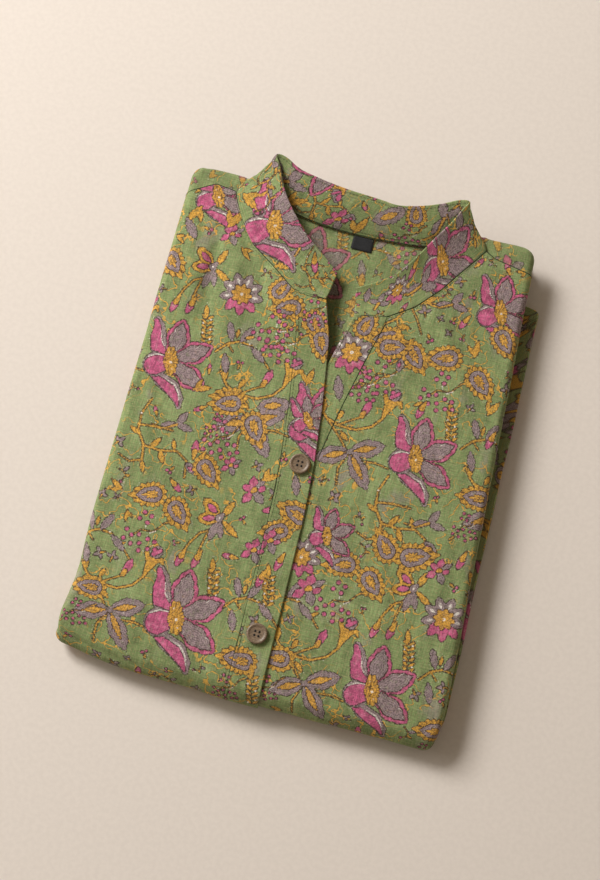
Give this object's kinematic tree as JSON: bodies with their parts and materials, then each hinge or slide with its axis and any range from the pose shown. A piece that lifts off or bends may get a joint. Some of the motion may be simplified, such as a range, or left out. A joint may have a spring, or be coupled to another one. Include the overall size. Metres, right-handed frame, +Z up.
{
  "type": "kurta tunic",
  "caption": "Long-sleeved cotton kurta tunic with a stand collar and a buttoned front placket, neatly folded and lying face up with its neck open.",
  "frame": {"origin": "middle of the underside, on the surface that the folded garment rests on", "axes": "+Y along the packet toward the collar, +X toward the viewer's right as it lies face up, +Z up out of the front"},
  "size_m": [0.323, 0.455, 0.042],
  "materials": {
    "printed_cotton": "matt slub cotton, green with a trailing floral print",
    "cotton_inside": "matt slub cotton, the paler inner face of the print",
    "coconut": "polished brown coconut shell",
    "black_tape": "woven black tape, bare"
  },
  "bodies": {
    "root": {"front_left": "printed_cotton", "front_right": "printed_cotton", "placket_upper": "printed_cotton", "placket_under": "printed_cotton", "collar": "printed_cotton", "back": "cotton_inside", "folded_layers": "printed_cotton", "sleeve_left": "printed_cotton", "sleeve_right": "printed_cotton", "button_upper": "coconut", "button_lower": "coconut", "size_label": "black_tape"}
  },
  "joints": []
}
